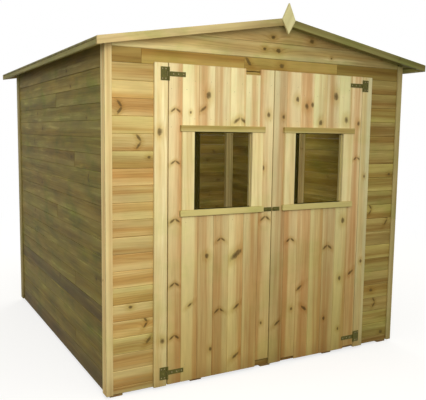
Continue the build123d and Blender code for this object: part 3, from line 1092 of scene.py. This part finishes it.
# the right front barge boards get the copy with painted shade
BARGE_WOODS = (BARGE_WOOD, SHADED_BARGE_WOOD, lambda board: board.middle.x > 0)
few = chance_knots(0.4)
many = chance_knots(1.5)
PLANED = {                  # node: material, edge, tones, knots
    "left_door_trim": (TRIM_WOOD, planed_edge, any_tone(0.98, 1.0), chosen_knots(LEFT_TRIM_KNOTS)),
    "right_door_trim": (TRIM_WOOD, planed_edge, any_tone(0.83, 0.87), chosen_knots(RIGHT_TRIM_KNOTS)),
    **alike(
        ("left_window_battens", "right_window_battens"),
        WINDOW_WOODS, small_edge, window_tone, chance_knots(0.3),
    ),
    **alike(("left_door_ledges", "right_door_ledges"), INSIDE_WOOD, small_edge, any_tone(0.9, 1.05), many),
    # painted light: the front-left strips' side faces are much lighter than their front faces, against the
    # shade on the left side
    "front_left_corner_strips": (STRIP_WOOD, planed_edge, strip_tone(0.96, 1.42), few),
    "front_right_corner_strips": (DULL_STRIP_WOOD, planed_edge, strip_tone(0.96, 1.0), few),
    "back_left_corner_strips": (DULL_STRIP_WOOD, planed_edge, strip_tone(0.96, 0.92), few),
    "back_right_corner_strips": (DULL_STRIP_WOOD, planed_edge, strip_tone(0.96, 1.0), few),
    "front_barge_boards": (BARGE_WOODS, planed_edge, any_tone(0.95, 1.0), chance_knots(0.8)),
    "back_barge_boards": (BARGE_WOOD, planed_edge, any_tone(0.9, 1.0), chance_knots(0.8)),
    "finial": (FINIAL_WOOD, planed_edge, any_tone(1.07, 1.09), chance_knots(0.1)),
    "eaves_battens": (ROOF_WOOD, small_edge, any_tone(1.2, 1.3), chance_knots(1)),
    "floor_bearers": (FRAME_WOOD, planed_edge, any_tone(0.85, 1.05), many),
    "door_sill": (BAND_BOARDS, small_edge, any_tone(0.8, 0.85), chance_knots(1)),
    **alike(
        ("left_wall_frame", "right_wall_frame", "back_wall_frame", "front_wall_frame"),
        INSIDE_WOOD, small_edge, any_tone(0.9, 1.08), many,
    ),
    **alike(("ridge_beam", "roof_purlins"), INSIDE_WOOD, small_edge, any_tone(0.9, 1.0), many),
}
for node, (material, edge, tone, knots) in PLANED.items():
    finished(copy_of(node, node + "_planed"), node, material, edge, tone, knots)


# ---------------------------------------------------------------- roof and floor boards

def sawn_across(node, cover, material, tone):
    """A slab sawn into equal boards side by side from front to back, near the cover in width."""
    low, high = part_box(node)
    count = round((high.y - low.y) / cover)
    width = (high.y - low.y) / count
    joints = [low.y + width * step for step in range(1, count)]
    boarded(node, "_sawn", "y", joints, material, joint_bevel, tone, chance_knots(1.2))


for side in SIDES:
    sawn_across(side + "_roof_boards", roof_cover, ROOF_WOOD, any_tone(0.85, 1.1))
sawn_across("floor_deck", deck_cover, FRAME_WOOD, any_tone(0.85, 1.0))


# ---------------------------------------------------------------- glass, painted shade behind the panes, and ironwork

def refinished(node, material):
    """Gives a node that keeps its shape another finish."""
    finishes = frame["nodes"][node].data.materials
    finishes.clear()
    finishes.append(material)


for side in SIDES:
    refinished(side + "_window_glass", GLASS)
for node in ("hinge_plates", "left_hinge_straps", "right_hinge_straps", "door_bolt", "bolt_keep"):
    refinished(node, IRON)


def glazing_seal(side, left_width):
    """Painted shade behind a pane: a dark strip, wide at its left and thin along its head and foot."""
    low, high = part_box(side + "_window_glass")
    front = high.y + seat
    back = front + shade_strip_depth
    inner = low.x + shade_strip_lap + left_width
    left = slab("bead", (low.x, front, low.z), (inner, back, high.z))
    span = (inner + seat, high.x - shade_strip_lap)
    foot = slab("bead", (span[0], front, low.z), (span[1], back, low.z + shade_strip_lap + shade_strip_thin))
    head = slab("bead", (span[0], front, high.z - shade_strip_lap - shade_strip_thin), (span[1], back, high.z))
    shade_strip = joined(side + "_glazing_seal", [left, foot, head])
    ease(shade_strip, shade_strip_edge, 2)
    shade_strip.data.materials.append(PANE_SHADE)
    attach(shade_strip, side + "_door")


for side, left_width in shade_strip_widths.items():
    glazing_seal(side, left_width)


# ---------------------------------------------------------------- nails and screws

def solids(node):
    """The boxes of a node's separate solids, each its lowest and highest corner."""
    whole = copy_of(node, "measure")
    boxes = []
    for faces in shells(whole.data):
        points = [whole.data.vertices[index].co for face in faces for index in face.vertices]
        low = Vector([min(point[i] for point in points) for i in range(3)])
        high = Vector([max(point[i] for point in points) for i in range(3)])
        boxes.append((low, high))
    bpy.data.objects.remove(whole)
    return sorted(boxes, key=lambda box: tuple(round(value, 4) for value in (*box[0], *box[1])))


def disc(place, facing, radius, thickness, sides):
    """A round head, half sunk, with its outer face selected in edit mode."""
    deselect()
    turn = Vector(facing).to_track_quat("Z", "Y").to_euler()
    bpy.ops.mesh.primitive_cylinder_add(
        vertices=sides, radius=radius, depth=2 * thickness, location=place, rotation=turn,
    )
    head = bpy.context.object
    bpy.ops.object.transform_apply(location=True, rotation=True, scale=True)
    start_edit(head)
    select_faces(head, lambda face: face.normal.dot(Vector(facing)) > 0.9)
    return head


def nail(place, facing):
    """A flat nail head with a slight dish."""
    head = disc(place, facing, nail_radius, nail_head, nail_sides)
    bpy.ops.mesh.inset(thickness=nail_radius * 0.3, depth=-nail_head * 0.4)
    end_edit()
    return head


def screw(place, facing):
    """A domed head with a slot."""
    head = disc(place, facing, screw_radius, screw_head, screw_sides)
    bpy.ops.mesh.inset(thickness=screw_radius * 0.2, depth=screw_head * 0.3)
    bpy.ops.mesh.inset(thickness=screw_radius * 0.1)
    bpy.ops.transform.resize(value=(1, 1, 0.25), center_override=place)
    bpy.ops.mesh.inset(thickness=0.00005, depth=-screw_head * 0.5)
    end_edit()
    return head


def heads(name, model, places, facing, body):
    """One nail or screw, copied to each place and joined into a piece."""
    first = model(places[0], facing)
    copies = [first]
    for place in places[1:]:
        twin = new_object(name, first.data.copy())
        twin.data.transform(Matrix.Translation(Vector(place) - Vector(places[0])))
        copies.append(twin)
    piece = joined(name, copies)
    piece.data.materials.append(STEEL)
    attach(piece, body)


def pair(x, y, z):
    """Two places, below and above a course's middle."""
    return [(x, y, z - course_nail_step), (x, y, z + course_nail_step)]


for side, sign in zip(SIDES, (-1, 1)):
    node = side + "_wall"
    low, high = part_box(node)
    face_x = low.x if sign < 0 else high.x
    studs = [(box[0].y + box[1].y) / 2 for box in solids(node + "_frame") if box[1].z - box[0].z > 1]
    stud_y = sorted(studs)[1]               # the second from the front takes the nails that show
    places = [place for row in middles(courses(node)) for place in pair(face_x, stud_y, row)]
    heads(node + "_nails", nail, places, (sign, 0, 0), "shed")

back_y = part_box("back_wall")[1].y
places = [place for row in middles(courses("back_wall")) for place in pair(0.0, back_y, row)]
heads("back_wall_nails", nail, places, (0, 1, 0), "shed")

for side, joints in (("left", LEFT_JOINTS), ("right", RIGHT_JOINTS)):
    low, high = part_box(side + "_door_boards")
    edges = [low.x, *joints, high.x]
    ledges = [box for box in solids(side + "_door_ledges") if box[1].x - box[0].x > 0.5]
    places = [
        (
            (left + right) / 2 + step * door_nail_across,
            low.y,
            (box[0].z + box[1].z) / 2 + step * door_nail_along,
        )
        for box in ledges
        for left, right in zip(edges, edges[1:])
        for step in (-1, 1)
    ]
    heads(side + "_door_nails", nail, places, (0, -1, 0), side + "_door")

hinge_face_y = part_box("left_door_trim")[0].y - hinge_thickness


def inward(box, steps):
    """Places along x at steps from the outer end of a left or right box."""
    low, high = box
    return [low.x + step if low.x < 0 else high.x - step for step in steps]


places = [
    (x, hinge_face_y, z)
    for box in solids("hinge_plates")
    for x in inward(box, plate_screws)
    for z in (box[0].z + plate_screw_edge, box[1].z - plate_screw_edge)
]
heads("hinge_plate_screws", screw, places, (0, -1, 0), "shed")

for side in SIDES:
    places = [
        (x, hinge_face_y, (box[0].z + box[1].z) / 2)
        for box in solids(side + "_hinge_straps")
        for x in inward(box, strap_screws)
    ]
    heads(side + "_strap_screws", screw, places, (0, -1, 0), side + "_door")


# ---------------------------------------------------------------- camera, lamps and floor

def placed(name, data, place, turn):
    """A camera or lamp at its place, turned by a matrix."""
    thing = new_object(name, data)
    thing.matrix_world = Matrix.Translation(place) @ turn
    return thing


def camera():
    data = bpy.data.cameras.new("camera")
    data.lens = lens
    data.sensor_width = sensor
    heading = Matrix.Rotation(radians(-camera_heading), 4, "Z")
    tilt = Matrix.Rotation(radians(90 + camera_tilt), 4, "X")
    roll = Matrix.Rotation(radians(camera_roll), 4, "Z")
    bpy.context.scene.camera = placed("camera", data, camera_place, heading @ tilt @ roll)


def lamp(name, place, target, width, power):
    data = bpy.data.lights.new(name, "AREA")
    data.shape = "DISK"
    data.size = width
    data.energy = power
    aim = (Vector(target) - Vector(place)).to_track_quat("-Z", "Y")
    placed(name, data, place, aim.to_matrix().to_4x4()).visible_camera = False


def background_rays(f):
    """1 for rays that should find a plain white background."""
    kinds = ("Is Camera Ray", "Is Glossy Ray", "Is Transmission Ray")
    seen, glossy, through = [f.node("LightPath", output=kind) for kind in kinds]
    return (seen + glossy + through).or_less(1.0)


def floor():
    """A pale floor that keeps the shadow near the shed and runs out to plain white."""
    f = Finish(bpy.data.materials.new("pale_floor"))
    x, y, _ = f.split(f.place())
    far = f.ease((x * x + y * y) ** 0.5, *shadow_fades)
    rays = background_rays(f)
    paper = f.node("BsdfDiffuse", inputs={0: shade(168, 166, 160)})
    glow = f.node("Emission", inputs={0: WHITE, 1: floor_glow})
    near_shader = f.node("AddShader", inputs={0: paper, 1: glow})
    white = f.node("Emission", inputs={0: WHITE, 1: 1.0})
    plain = f.node("BsdfDiffuse", inputs={0: shade(120, 118, 112)})
    shown = f.node("MixShader", inputs={0: far, 1: near_shader, 2: white})
    shader = f.node("MixShader", inputs={0: rays, 1: plain, 2: shown})
    deselect()
    bpy.ops.mesh.primitive_plane_add(size=floor_width)
    ground = bpy.context.object
    ground.name = "floor"
    ground.data.materials.append(f.finish(shader))


def world():
    bpy.context.scene.world = bpy.data.worlds.new("studio")
    f = Finish(bpy.context.scene.world)
    light = f.node("Background", inputs={0: WHITE, 1: sky_strength})
    white = f.node("Background", inputs={0: WHITE, 1: 1.0})
    shown = f.node("MixShader", inputs={0: background_rays(f), 1: light, 2: white})
    f.node("OutputWorld", inputs={0: shown})


camera()
floor()
world()
for settings in LAMPS:
    lamp(*settings)
bpy.context.scene.view_settings.view_transform = "Standard"
